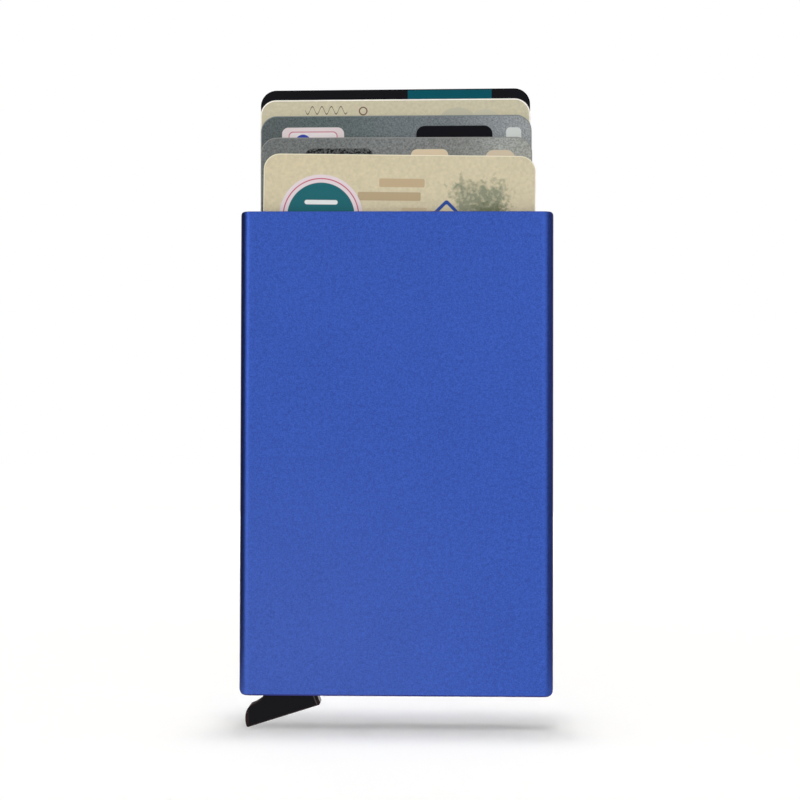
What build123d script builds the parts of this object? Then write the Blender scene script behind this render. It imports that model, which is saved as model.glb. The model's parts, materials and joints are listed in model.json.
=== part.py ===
from build123d import *
import os
from math import asin, atan2, cos, degrees, dist, hypot, pi, sin, sqrt

os.makedirs("parts", exist_ok=True)

# A slim metal case that holds a stack of cards and fans them out of its mouth with a lever.
# X runs to the right, Y from the front face to the back, Z up to the mouth.
# The origin is under the middle of the case, at the height of the lever's toe.

# Cards, of the standard card size, and the room that each has in the case
card_width = 53.98
card_height = 85.60
card_thickness = 0.76
card_corner_radius = 3.18
card_gap = 0.10
card_side_play = 0.80
card_recess = 0.40

# How the fan stands: the rear card's lift out of its stowed place, and what share of it
# each card has, front to rear, with its sideways shift and lean as shares of the side play
full_lift = 25.5
lift_shares = (0.465, 0.607, 0.783, 0.916, 1.0)
shift_shares = (0.03, -0.13, -0.11, -0.32, -0.24)
lean_shares = (-0.61, 0.12, 0.25, 0.33, 0.42)
card_count = len(lift_shares)

# Chip modules on the front of some cards, near the lower end, and stripes on their backs
chip_flags = (False, True, True, False, True)
chip_width = 11.8
chip_height = 13.0
chip_thickness = 0.20
chip_corner_radius = 2.0
chip_end_inset = 15.1
chip_side_inset = 23.9
chip_fit = 0.05
stripe_width = 12.7
stripe_side_inset = 4.5
stripe_thickness = 0.08

# Case tube
case_wall = 0.90
case_corner_radius = 2.40
mouth_round = 0.85
foot_round = 1.4
edge_break = 0.15
foot_break = 0.30

# Friction pads on the inner walls
pad_thickness = 0.90
pad_clearance = 0.10
pad_height = 8.0
pad_side_gap = 1.5
pad_corner_radius = 1.0
pad_mouth_inset = 3.0
pad_spacing = 45.0

# Moulded inner frame: channel for the lever below, rails for the cards' edges above
frame_fit = 0.03
frame_corner_gap = 0.10
frame_recess = 0.30
floor_thickness = 1.70
block_height = 1.20
corner_wall = 1.07
rail_thickness = 2.28
rail_mouth_inset = 4.0
rail_lead_in = 1.0
skirt_clearance = 2.0
slot_clearance = 0.50
rib_thickness = 1.0
rib_pocket_count = 2
arm_clearance = 1.5
core_count = 5
core_depth = 1.2
core_web = 3.0
core_edge_wall = 1.2

# Pivot pin
pin_radius = 0.75
pin_seat_clearance = 0.01
pin_running_clearance = 0.05
pin_recess = 0.10
pin_chamfer = 0.15

# Lever: hub, stepped fingers that carry one card each, and the trigger below the case
lever_side_clearance = 0.12
hub_radius = 2.20
hub_clearance = 0.30
hub_floor_clearance = 0.30
boss_radius = 1.25
short_reach = 17.5
reach_step = 5.6
nose_rise = 4.1
nose_radius = 1.2
nose_gap = 0.20
heel_radius = 1.0
heel_inset = 0.5
rest_gap = 0.10
toe_drop = 6.5
trigger_length = 15.1
trigger_side_inset = 1.1
trigger_edge_radius = 0.30
trigger_corner_radius = 0.50
trigger_side_radius = 1.0
toe_radius = 0.35
toe_lean = 23.0

# Outline of the trigger, from the neck round the toe: shares of its length and its drop
neck_share = 0.265
throat_shares = (0.190, 0.190)
shoulder_shares = (0.070, 0.335)
toe_share = 0.043
end_shares = (1.0, 0.300)
end_top_share = 0.947

# Return spring, a torsion coil round the lever's boss
wire_diameter = 0.40
coil_radius = 1.70
coil_pitch = 0.86
spring_side_gap = 0.15
spring_pocket_gap = 0.60
lever_leg = 7.0
frame_leg = 3.2
leg_seat_gap = 0.05
leg_slot_gap = 0.15
leg_end_gap = 0.60
quarter_count = 9

# Sizes that follow: the card stack and the case round it
card_pitch = card_thickness + card_gap
stack_depth = card_count * card_pitch - card_gap
well_width = card_width + 2 * card_side_play
inner_depth = stack_depth + 2 * (pad_clearance + pad_thickness)
case_depth = inner_depth + 2 * case_wall
frame_width = well_width + 2 * rail_thickness
inner_width = frame_width + 2 * frame_fit
case_width = inner_width + 2 * case_wall
frame_depth = inner_depth - 2 * frame_fit
base = toe_drop

# Pivot, in the left corner of the case
block_top = base + frame_recess + block_height
floor_top = base + frame_recess + floor_thickness
pivot_x = -frame_width / 2 + corner_wall + hub_clearance + hub_radius
pivot_z = block_top + hub_floor_clearance + hub_radius

# Noses of the fingers, and the stowed cards just above them
nose_z = pivot_z + nose_rise
stowed_z = nose_z + nose_radius + nose_gap
case_height = stowed_z - base + card_height + card_recess
skirt_top = stowed_z - skirt_clearance
tip_radius = hypot(short_reach + (card_count - 1) * reach_step, nose_rise) + nose_radius

# Lever across the case, and the channel that it swings in
lever_depth = card_count * card_pitch
lever_front = -lever_depth / 2
channel_depth = lever_depth + 2 * lever_side_clearance
trigger_left = -case_width / 2 + trigger_side_inset

# Spring across the case, and the hub plate in front of it
leg_y = channel_depth / 2 - spring_side_gap - wire_diameter / 2
frame_leg_y = leg_y - quarter_count / 4 * coil_pitch
hub_back = frame_leg_y - wire_diameter / 2 - spring_side_gap


def trigger_point(along, down):
    """Point of the trigger's outline, from shares of its length and of its drop."""
    return (trigger_left + along * trigger_length, base - down * toe_drop)


# Toe: a small round, and the slope in degrees of the straight edge from it to the far end
trigger_end = trigger_point(*end_shares)
toe_centre = (trigger_left + toe_share * trigger_length, toe_radius)
edge_run = trigger_end[0] - toe_centre[0]
edge_rise = trigger_end[1] - toe_centre[1]
toe_slope = degrees(atan2(edge_rise, edge_run) + asin(toe_radius / hypot(edge_run, edge_rise)))

# Slot in the floor: from the neck's left side to the sweep of the trigger's far end
neck_x = trigger_point(neck_share, 0)[0]
sweep_radius = hypot(trigger_end[0] - pivot_x, trigger_end[1] - pivot_z)
slot_left = neck_x - hub_clearance
slot_right = pivot_x + sweep_radius + slot_clearance
heel_x = slot_right + heel_inset + heel_radius
heel_z = floor_top + rest_gap + heel_radius


def nose_x(index):
    """Place of one finger's nose along X, counted from the front card."""
    return pivot_x + short_reach + index * reach_step


def card_front(index):
    """Place of one card's front face along Y, counted from the front card."""
    return -stack_depth / 2 + index * card_pitch


def card_plane(index):
    """Plane on the front face of one card, its X to the right and its Y up the card."""
    lean = asin(lean_shares[index] * card_side_play / (card_height / 2))
    middle_z = stowed_z + card_height / 2 + full_lift * lift_shares[index]
    return Plane(
        origin=(card_side_play * shift_shares[index], card_front(index), middle_z),
        x_dir=(cos(lean), 0, sin(lean)),
        z_dir=(0, -1, 0),
    )


def save(piece, name):
    """Label one finished piece and write it to its own file."""
    piece.part.label = name
    export_step(piece.part, f"parts/{name}.step")


# Case shell: a flat extruded tube with rounded corners and softened ends
with BuildPart() as case_shell:
    with BuildSketch(Plane.XY.offset(base)):
        RectangleRounded(case_width, case_depth, case_corner_radius)
        RectangleRounded(inner_width, inner_depth, case_corner_radius - case_wall, mode=Mode.SUBTRACT)
    extrude(amount=case_height)
    ends = case_shell.faces().filter_by(Axis.Z).sort_by(Axis.Z)
    chamfer(ends[0].edges(), foot_break)
    chamfer(ends[-1].edges(), edge_break)
    with BuildSketch(Plane.XZ) as silhouette:
        with Locations((0, base + case_height / 2)):
            Rectangle(case_width, case_height)
        fillet(silhouette.vertices().group_by(Axis.Y)[-1], mouth_round)
        fillet(silhouette.vertices().group_by(Axis.Y)[0], foot_round)
    extrude(amount=case_depth, both=True, mode=Mode.INTERSECT)
save(case_shell, "case_shell")


# Inner frame: one moulding, pushed into the tube from below
with BuildPart() as inner_frame:
    frame_base = base + frame_recess
    rail_height = base + case_height - rail_mouth_inset - frame_base
    with BuildSketch(Plane.XY.offset(frame_base)):
        RectangleRounded(frame_width, frame_depth, case_corner_radius - case_wall + frame_corner_gap)
    extrude(amount=rail_height)

    # Card well between the rails, open to the front and the back
    with BuildSketch(Plane.XY.offset(skirt_top)):
        Rectangle(well_width, case_depth)
    extrude(amount=rail_height, mode=Mode.SUBTRACT)

    # Channel that the lever swings in: over the corner block, and over the floor
    channel_left = pivot_x - hub_radius - hub_clearance
    channel_right = pivot_x + tip_radius + arm_clearance
    with BuildSketch(Plane.XY.offset(block_top)):
        with Locations((channel_left, 0)):
            Rectangle(slot_right - channel_left, channel_depth, align=(Align.MIN, Align.CENTER))
    extrude(amount=skirt_top - block_top, mode=Mode.SUBTRACT)
    with BuildSketch(Plane.XY.offset(floor_top)):
        with Locations((slot_left, 0)):
            Rectangle(channel_right - slot_left, channel_depth, align=(Align.MIN, Align.CENTER))
    extrude(amount=skirt_top - floor_top, mode=Mode.SUBTRACT)

    # Slot in the floor that the trigger hangs through
    with BuildSketch(Plane.XY.offset(frame_base)):
        with Locations((slot_left, 0)):
            Rectangle(slot_right - slot_left, channel_depth, align=(Align.MIN, Align.CENTER))
    extrude(amount=skirt_top - frame_base, mode=Mode.SUBTRACT)

    # Rib pockets beyond the lever's reach
    pocket_length = (well_width / 2 - channel_right) / rib_pocket_count - rib_thickness
    with BuildSketch(Plane.XY.offset(floor_top)):
        for index in range(rib_pocket_count):
            pocket_left = channel_right + rib_thickness + index * (pocket_length + rib_thickness)
            with Locations((pocket_left, 0)):
                Rectangle(pocket_length, channel_depth, align=(Align.MIN, Align.CENTER))
    extrude(amount=skirt_top - floor_top, mode=Mode.SUBTRACT)

    # Core pockets in the outer sides of the rails
    core_pitch = (rail_height - skirt_top + frame_base) / core_count
    core_height = core_pitch - core_web
    core_width = frame_depth - 2 * core_edge_wall
    for side in (-1, 1):
        with BuildSketch(Plane.YZ.offset(side * frame_width / 2)):
            for index in range(core_count):
                with Locations((0, skirt_top + (index + 1 / 2) * core_pitch)):
                    Rectangle(core_width, core_height)
        extrude(amount=-side * core_depth, mode=Mode.SUBTRACT)

    # Bore for the pin through both cheeks
    with BuildSketch(Plane.XZ):
        with Locations((pivot_x, pivot_z)):
            Circle(pin_radius + pin_seat_clearance)
    extrude(amount=frame_depth, both=True, mode=Mode.SUBTRACT)

    # Slot in the corner block that holds the spring's lower leg
    leg_slot = wire_diameter + 2 * leg_slot_gap
    with BuildSketch(Plane.XY.offset(pivot_z - frame_leg - leg_slot_gap)):
        with Locations((pivot_x - coil_radius, frame_leg_y)):
            Rectangle(leg_slot, leg_slot)
    extrude(amount=frame_leg, mode=Mode.SUBTRACT)

    # Lead-in on the rails' top inner edges
    rail_tops = inner_frame.edges().filter_by(Axis.Y).group_by(Axis.Z)[-1]
    chamfer(rail_tops.sort_by(lambda edge: abs(edge.center().X))[:2], rail_lead_in)
save(inner_frame, "inner_frame")


# Lever: one moulding with a hub, five stepped fingers and the trigger
with BuildPart() as ejector_lever:
    with BuildSketch(Plane.XZ.offset(-lever_front)) as trigger:
        with BuildLine():
            neck = trigger_point(neck_share, 0)
            shoulder = trigger_point(*shoulder_shares)
            toe = CenterArc(toe_centre, toe_radius, 180 + toe_lean, 90 + toe_slope - toe_lean)
            TangentArc(toe @ 0, shoulder, tangent=-(toe % 0))
            ThreePointArc(shoulder, trigger_point(*throat_shares), neck)
            Polyline(
                toe @ 1,
                trigger_end,
                trigger_point(end_top_share, 0),
                (trigger_point(end_top_share, 0)[0], heel_z),
                (neck_x, heel_z),
                neck,
            )
        make_face()
        for corner in (neck, shoulder, trigger_end):
            fillet(trigger.vertices().sort_by_distance(corner)[0], trigger_corner_radius)
    extrude(amount=-lever_depth)
    rims = ejector_lever.edges().group_by(Axis.Y)
    fillet(rims[0] + rims[-1], trigger_edge_radius)

    # Flank and far end rounded across the trigger, where a finger pushes it
    with BuildSketch():
        with Locations((trigger_left + trigger_length / 2, 0)):
            RectangleRounded(trigger_length, lever_depth, trigger_side_radius)
    extrude(amount=heel_z, mode=Mode.INTERSECT)

    # Fingers: the hull of hub, heel and nose, one card pitch thick, longer towards the rear
    for index in range(card_count):
        with BuildSketch(Plane.XZ.offset(-lever_front - index * card_pitch)):
            with Locations((pivot_x, pivot_z)):
                Circle(hub_radius)
            with Locations((heel_x, heel_z)):
                Circle(heel_radius)
            with Locations((nose_x(index), nose_z)):
                Circle(nose_radius)
            make_hull()
        extrude(amount=-card_pitch)

    # Pocket for the spring behind the hub plate, with the boss left standing in it
    with BuildSketch(Plane.XZ.offset(-hub_back)):
        with Locations((pivot_x, pivot_z)):
            Circle(coil_radius + wire_diameter / 2 + spring_pocket_gap)
            Circle(boss_radius, mode=Mode.SUBTRACT)
    extrude(amount=-lever_depth, mode=Mode.SUBTRACT)

    # Groove with the ledge that the spring's upper leg presses on
    groove_front = leg_y - wire_diameter / 2 - spring_side_gap
    with BuildSketch(Plane.XZ.offset(-groove_front)):
        with Locations((pivot_x, pivot_z + coil_radius - wire_diameter / 2 - leg_seat_gap)):
            Rectangle(lever_leg + leg_end_gap, nose_rise, align=(Align.MIN, Align.MIN))
    extrude(amount=-lever_depth, mode=Mode.SUBTRACT)

    # Bore that turns on the pin
    with BuildSketch(Plane.XZ):
        with Locations((pivot_x, pivot_z)):
            Circle(pin_radius + pin_running_clearance)
    extrude(amount=lever_depth, both=True, mode=Mode.SUBTRACT)
save(ejector_lever, "ejector_lever")


# Pivot pin: a plain steel dowel held by the two cheeks and shut in by the case
with BuildPart() as pivot_pin:
    with BuildSketch(Plane.XZ):
        with Locations((pivot_x, pivot_z)):
            Circle(pin_radius)
    extrude(amount=frame_depth / 2 - pin_recess, both=True)
    chamfer(pivot_pin.edges().filter_by(GeomType.CIRCLE), pin_chamfer)
save(pivot_pin, "pivot_pin")


def coil_point(turned):
    """Point of the coil's centre line, by quarter turns from the lever's leg at the top."""
    angle = pi / 2 * (1 + turned)
    return Vector(
        pivot_x + coil_radius * cos(angle),
        leg_y - turned / 4 * coil_pitch,
        pivot_z + coil_radius * sin(angle),
    )


def coil_tangent(turned):
    """Direction of the wire there; level across the case at both ends, where the legs join."""
    angle = pi / 2 * (1 + turned)
    climb = 0 if turned in (0, quarter_count) else coil_pitch / (2 * pi)
    return Vector(-coil_radius * sin(angle), -climb, coil_radius * cos(angle)).normalized()


def biarc(start, start_tangent, end, end_tangent):
    """Two arcs that join start to end and keep both given tangents."""
    chord = end - start
    both = start_tangent + end_tangent
    spread = 2 * (1 - start_tangent.dot(end_tangent))
    along = chord.dot(both)
    reach = (sqrt(along * along + spread * chord.dot(chord)) - along) / spread
    first_control = start + start_tangent * reach
    last_control = end - end_tangent * reach
    joint = (first_control + last_control) * (1 / 2)
    TangentArc(start, joint, tangent=start_tangent)
    TangentArc(joint, end, tangent=last_control - first_control)


# Return spring: one wire with a leg along the lever, a coil and a leg down into the frame
with BuildPart() as return_spring:
    with BuildLine() as spring_line:
        Line(coil_point(0) + Vector(lever_leg, 0, 0), coil_point(0))
        for quarter in range(quarter_count):
            biarc(
                coil_point(quarter),
                coil_tangent(quarter),
                coil_point(quarter + 1),
                coil_tangent(quarter + 1),
            )
        Line(coil_point(quarter_count), coil_point(quarter_count) - Vector(0, 0, frame_leg))
    spring_wire = spring_line.wires()[0]
    with BuildSketch(Plane(origin=spring_wire @ 0, z_dir=spring_wire % 0)):
        Circle(wire_diameter / 2)
    sweep(path=spring_wire)
save(return_spring, "return_spring")

# Least gap between turns, measured on points at least half a turn apart along the wire
sample_count = 400
samples = [tuple(spring_wire @ (step / sample_count)) for step in range(sample_count + 1)]
half_turn = int(sample_count * pi * coil_radius / spring_wire.length)
least = min(
    dist(samples[first], samples[second])
    for first in range(len(samples))
    for second in range(first + half_turn, len(samples))
)
print(f"return spring: least gap between turns {least - wire_diameter:.3f} mm")


# Friction pads: felt strips stuck to the front and rear walls, near the mouth and half way down
for face, side in (("front", -1), ("rear", 1)):
    for level, drop in (("upper", 0), ("lower", pad_spacing)):
        pad_z = base + case_height - pad_mouth_inset - pad_height / 2 - drop
        with BuildPart() as pad:
            with BuildSketch(Plane.XZ.offset(-side * inner_depth / 2)):
                with Locations((0, pad_z)):
                    RectangleRounded(well_width - 2 * pad_side_gap, pad_height, pad_corner_radius)
            extrude(amount=side * pad_thickness)
        save(pad, f"pad_{face}_{level}")


# Cards, front to rear, with recesses for the chip and the stripe where a card has them
for index in range(card_count):
    face_plane = card_plane(index)
    back_plane = face_plane.offset(-card_thickness)
    chip_place = (chip_side_inset - card_width / 2, chip_end_inset - card_height / 2)
    stripe_place = (stripe_side_inset + (stripe_width - card_width) / 2, 0)
    number = index + 1
    with BuildPart() as card:
        with BuildSketch(face_plane):
            RectangleRounded(card_width, card_height, card_corner_radius)
        extrude(amount=-card_thickness)
        if chip_flags[index]:
            with BuildSketch(face_plane):
                with Locations(chip_place):
                    RectangleRounded(
                        chip_width + 2 * chip_fit,
                        chip_height + 2 * chip_fit,
                        chip_corner_radius + chip_fit,
                    )
            extrude(amount=-chip_thickness, mode=Mode.SUBTRACT)
            with BuildSketch(back_plane):
                with Locations(stripe_place):
                    Rectangle(stripe_width, card_height)
            extrude(amount=stripe_thickness, mode=Mode.SUBTRACT)
    save(card, f"card_{number}")
    if chip_flags[index]:
        with BuildPart() as chip:
            with BuildSketch(face_plane):
                with Locations(chip_place):
                    RectangleRounded(chip_width, chip_height, chip_corner_radius)
            extrude(amount=-chip_thickness)
        save(chip, f"card_{number}_chip")
        with BuildPart() as stripe:
            with BuildSketch(back_plane):
                with Locations(stripe_place):
                    Rectangle(stripe_width, card_height)
            extrude(amount=stripe_thickness)
        save(stripe, f"card_{number}_stripe")

print(f"case {case_width:.2f} x {case_depth:.2f} x {case_height:.2f} mm, base at {base:.2f}")
print(f"pivot at x {pivot_x:.2f}, z {pivot_z:.2f}; stowed cards at z {stowed_z:.2f}")
print(f"card lifts {[round(full_lift * share, 2) for share in lift_shares]}")
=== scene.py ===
"""Looks of a slim metal card holder with its cards fanned out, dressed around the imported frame.

Lengths are in metres, and a name that ends in _mm is in millimetres. X runs to the right, Y from
the front face to the back and Z up to the mouth. The origin is under the middle of the case.
"""

import json
import logging
import math
from dataclasses import dataclass
from enum import Enum
from typing import Any, Sequence

import bmesh
import bpy
import numpy as np
from mathutils import Matrix, Vector

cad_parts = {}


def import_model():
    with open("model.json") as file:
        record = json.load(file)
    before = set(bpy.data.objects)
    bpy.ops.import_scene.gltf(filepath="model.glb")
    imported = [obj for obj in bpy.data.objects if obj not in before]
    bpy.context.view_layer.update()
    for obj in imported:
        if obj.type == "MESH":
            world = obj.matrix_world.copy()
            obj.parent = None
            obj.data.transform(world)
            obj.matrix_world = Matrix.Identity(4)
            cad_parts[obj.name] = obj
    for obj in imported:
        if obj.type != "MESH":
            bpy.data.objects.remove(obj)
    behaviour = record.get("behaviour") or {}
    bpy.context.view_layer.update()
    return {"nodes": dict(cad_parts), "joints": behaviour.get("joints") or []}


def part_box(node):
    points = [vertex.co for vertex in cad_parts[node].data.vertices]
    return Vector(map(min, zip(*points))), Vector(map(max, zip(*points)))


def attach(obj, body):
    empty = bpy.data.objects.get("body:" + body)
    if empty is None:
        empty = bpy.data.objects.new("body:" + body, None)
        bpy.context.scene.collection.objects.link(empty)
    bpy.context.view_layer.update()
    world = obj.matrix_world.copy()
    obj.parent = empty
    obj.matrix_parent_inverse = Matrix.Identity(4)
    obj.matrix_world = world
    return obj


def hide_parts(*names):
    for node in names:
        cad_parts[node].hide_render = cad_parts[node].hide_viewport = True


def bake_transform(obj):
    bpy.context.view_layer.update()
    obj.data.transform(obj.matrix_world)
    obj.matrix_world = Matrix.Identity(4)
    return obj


MM = 0.001
LOG = logging.getLogger("card_holder")

# A Mix node's share, its two colours and its result go by number, for it has each for every type.
SHARE, UNDER, OVER, MIXED = 0, 6, 7, 2
# Nearly all values of a grain lie between these two.
GRAIN_LOW, GRAIN_HIGH = 0.3, 0.7
# Times this, a place loses its depth.
WITHOUT_Y = (1, 0, 1)
# Points nearer than this, in metres, are one point.
SAME_POINT = 1e-7

Socket = bpy.types.NodeSocket
Inputs = Sequence[Any] | dict[int | str, Any]
Point = tuple[float, float]
Limits = tuple[float, float]
Triple = tuple[float, float, float]


class Slot(Enum):
    """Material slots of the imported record, by the real material."""

    ALUMINIUM = "anodised_aluminium"
    NYLON = "black_nylon"
    ACETAL = "black_acetal"
    STEEL = "steel"
    SPRING_STEEL = "spring_steel"
    FELT = "felt"
    CREAM = "card_cream"
    GREY = "card_grey"
    BLACK = "card_black"
    GOLD = "contact_gold"
    TAPE = "stripe_tape"


def linear(hex_colour: str) -> tuple[float, float, float, float]:
    """Turns an sRGB colour into Blender's linear values.

    Args:
        hex_colour: six hex digits, red first.

    Returns:
        Red, green and blue in linear light, and an alpha of 1.
    """
    shown = np.array([int(hex_colour[at : at + 2], 16) for at in (0, 2, 4)]) / 255
    light = np.where(shown <= 0.04045, shown / 12.92, ((shown + 0.055) / 1.055) ** 2.4)
    return (*light.tolist(), 1.0)


def fill(tree: bpy.types.NodeTree, node: bpy.types.Node, inputs: Inputs) -> None:
    """Fills a node's inputs: a socket is linked, anything else is set.

    Args:
        tree: node tree that the node is in.
        node: the node.
        inputs: values in the order of the node's inputs, or by their names or numbers.
    """
    for key, value in inputs.items() if isinstance(inputs, dict) else enumerate(inputs):
        if isinstance(value, Socket):
            tree.links.new(value, node.inputs[key])
        else:
            node.inputs[key].default_value = value


def add(
    tree: bpy.types.NodeTree, kind: str, inputs: Inputs = (), out: int | str = 0, **settings: Any
) -> Socket:
    """Adds one node, with its settings and links.

    Args:
        tree: node tree of a material or of the world.
        kind: Blender's name for the node, after ShaderNode.
        inputs: values in the order of the node's inputs, or by their names or numbers.
        out: name or number of the output to hand back.
        settings: the node's own options, such as operation.

    Returns:
        The chosen output.
    """
    node = tree.nodes.new(f"ShaderNode{kind}")
    for name, value in settings.items():
        setattr(node, name, value)
    fill(tree, node, inputs)
    return node.outputs[out]


class Paint:
    """One material with a Principled shader, and its place in millimetres."""

    def __init__(self, name: str) -> None:
        """Makes the material.

        Args:
            name: the material's name.
        """
        self.material = bpy.data.materials.new(name)
        self.material.use_nodes = True
        place = self.add("TexCoord", out="Object")
        self.place = self.add("VectorMath", {0: place, "Scale": 1 / MM}, operation="SCALE")

    def add(self, kind: str, inputs: Inputs = (), out: int | str = 0, **settings: Any) -> Socket:
        """Adds one node to this material."""
        return add(self.material.node_tree, kind, inputs, out, **settings)

    def shade(self, **values: Any) -> bpy.types.Material:
        """Fills the shader's own sockets.

        Args:
            values: values by the sockets' names, with _ for each space.

        Returns:
            The finished material.
        """
        tree = self.material.node_tree
        named = {name.replace("_", " "): value for name, value in values.items()}
        fill(tree, tree.nodes["Principled BSDF"], named)
        return self.material

    def grain(self, size_mm: float, detail: float = 2, stretch: Sequence[float] = (1, 1, 1)) -> Socket:
        """Cloudy grain, about 0.5 on average.

        Args:
            size_mm: distance from one grain to the next.
            detail: how many finer layers it holds.
            stretch: how many times longer the grains are along each axis.

        Returns:
            The grain's value.
        """
        squeeze = [1 / (size_mm * times) for times in stretch]
        place = self.add("VectorMath", (self.place, squeeze), operation="MULTIPLY")
        return self.add("TexNoise", {"Vector": place, "Scale": 1, "Detail": detail})

    def roughened(self, grain: Socket, middle: float, spread: float) -> Socket:
        """Roughness that a grain spreads evenly round a middle value."""
        return self.add("MapRange", (grain, GRAIN_LOW, GRAIN_HIGH, middle - spread, middle + spread))

    def facing(self, axis: str) -> Socket:
        """How far the surface faces along one axis, from -1 to 1."""
        return self.add("SeparateXYZ", (self.add("NewGeometry", out="Normal"),), axis)


@dataclass(frozen=True)
class AnodisedAluminium:
    """Aluminium, bead blasted and dyed blue in its oxide: an even satin with a fine sparkle.

    Light that leaves the dyed layer at a low angle has crossed more of it, so edges go deeper.
    """

    light: str = "345fc8"
    dark: str = "1c419b"
    edge: str = "644a5c"
    # Colour of the shade painted on the broken edge at the foot.
    foot_shade: str = "08167a"
    roughness: float = 0.36
    spread: float = 0.04
    oxide: float = 0.6
    # Size and weight of each grain. A bead's dimple is 0.05 mm; it is drawn as coarse as one pixel
    # shows. The others are the unevenness of the blast and of the dye.
    bead: tuple[float, float] = (0.24, 1.6)
    blast: tuple[float, float] = (0.8, 0.6)
    dye: tuple[float, float] = (14.0, 0.2)
    dimple_mm: float = 0.006
    # How far down the surface faces where the foot's painted shade starts, and where it is full.
    foot_shade_facing: Limits = (-0.10, -0.30)
    # Middle of a painted highlight, a faint pale veil low on the left of the face, how far it reaches from
    # there, and how pale it is.
    highlight_centre_mm: Triple = (-20.0, 0.0, 10.0)
    highlight_reach_mm: float = 62.0
    painted_highlight: float = 0.014

    def make(self) -> bpy.types.Material:
        """Builds the material: its colour lies between dark and light by the weighted grains.

        Returns:
            The material.
        """
        paint = Paint("anodised_aluminium_blue")
        share: Any = 0.5
        for size_mm, weight in (self.dye, self.blast, self.bead):
            grain = paint.grain(size_mm)
            centred = paint.add("Math", (grain, 0.5), operation="SUBTRACT")
            share = paint.add("Math", (centred, weight, share), operation="MULTIPLY_ADD")
        tones = {SHARE: share, UNDER: linear(self.dark), OVER: linear(self.light)}
        blasted = paint.add("Mix", tones, MIXED, data_type="RGBA")
        # The broken edge at the foot faces down, and shade is painted on it in a darker colour.
        down = paint.add("MapRange", (paint.facing("Z"), *self.foot_shade_facing))
        cut = {SHARE: down, UNDER: blasted, OVER: linear(self.foot_shade)}
        dyed_and_shaded = paint.add("Mix", cut, MIXED, data_type="RGBA")
        # A painted highlight: a faint pale veil, strongest low on the left by the trigger's corner, is
        # added to the colour.
        flat = paint.add("VectorMath", (paint.place, WITHOUT_Y), operation="MULTIPLY")
        away = paint.add("VectorMath", (flat, self.highlight_centre_mm), "Value", operation="DISTANCE")
        reach = (away, self.highlight_reach_mm, 0.0, 0.0, self.painted_highlight)
        painted_highlight = paint.add("MapRange", reach, interpolation_type="SMOOTHSTEP")
        colour = paint.add("VectorMath", (dyed_and_shaded, painted_highlight), operation="ADD")
        rough = paint.roughened(grain, self.roughness, self.spread)
        dimples = paint.add("Bump", {"Height": grain, "Distance": self.dimple_mm * MM})
        return paint.shade(
            Base_Color=colour, Roughness=rough, Normal=dimples, Metallic=1.0,
            Specular_Tint=linear(self.edge), Coat_Weight=self.oxide, Coat_Roughness=self.roughness,
        )


@dataclass(frozen=True)
class WearAndHighlights:
    """What use does to a black moulding, and highlights painted on it.

    Rims get a painted brown highlight and are rougher, the end that meets the slot is polished and
    mirrors what is beside it, and a pale highlight line is painted across the shoulder.
    """

    # Colour of the brown highlight painted on the rims.
    rim: str = "2e2222"
    # How squarely the surface faces front or back where a rim's painted highlight starts, and where it is
    # full.
    rim_highlight_facing: Limits = (0.998, 0.96)
    rim_dulled: float = 0.25
    # The same to the right, for the end that its slot polishes.
    end_facing: Limits = (0.2, 0.7)
    end_polished: float = 0.42
    # A pale highlight line is painted across the trigger's shoulder: how far it leans along X for each
    # millimetre down, where it would meet Z of 0, how wide it is, and its colour.
    highlight_line_lean: float = 0.41
    highlight_line_at_mm: float = -13.7
    highlight_line_mm: float = 0.24
    highlight_line: str = "544a49"

    def lay(self, paint: Paint, colour: Socket, rough: Socket) -> tuple[Socket, Socket]:
        """Lays the wear and the painted highlights over a material.

        The painted highlight line is where X plus the lean times Z is near one value.

        Args:
            paint: the material's paint.
            colour: its colour so far.
            rough: its roughness so far.

        Returns:
            The worn colour and roughness.
        """
        # The rims get a painted brown highlight and are made rougher.
        flat = paint.add("Math", (paint.facing("Y"),), operation="ABSOLUTE")
        rim = paint.add("MapRange", (flat, *self.rim_highlight_facing))
        rim_highlighted = {SHARE: rim, UNDER: colour, OVER: linear(self.rim)}
        colour = paint.add("Mix", rim_highlighted, MIXED, data_type="RGBA")
        rough = paint.add("Math", (rim, self.rim_dulled, rough), operation="MULTIPLY_ADD")
        end = paint.add("MapRange", (paint.facing("X"), *self.end_facing))
        rough = paint.add("Math", (end, -self.end_polished, rough), operation="MULTIPLY_ADD")
        # A pale highlight line painted across the shoulder.
        square = (1.0, 0.0, self.highlight_line_lean)
        along = paint.add("VectorMath", (paint.place, square), "Value", operation="DOT_PRODUCT")
        past = paint.add("Math", (along, self.highlight_line_at_mm), operation="SUBTRACT")
        away = paint.add("Math", (past,), operation="ABSOLUTE")
        line = paint.add("MapRange", (away, self.highlight_line_mm * 3 / 4, self.highlight_line_mm / 4))
        line_highlighted = {SHARE: line, UNDER: colour, OVER: linear(self.highlight_line)}
        return paint.add("Mix", line_highlighted, MIXED, data_type="RGBA"), rough


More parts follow.
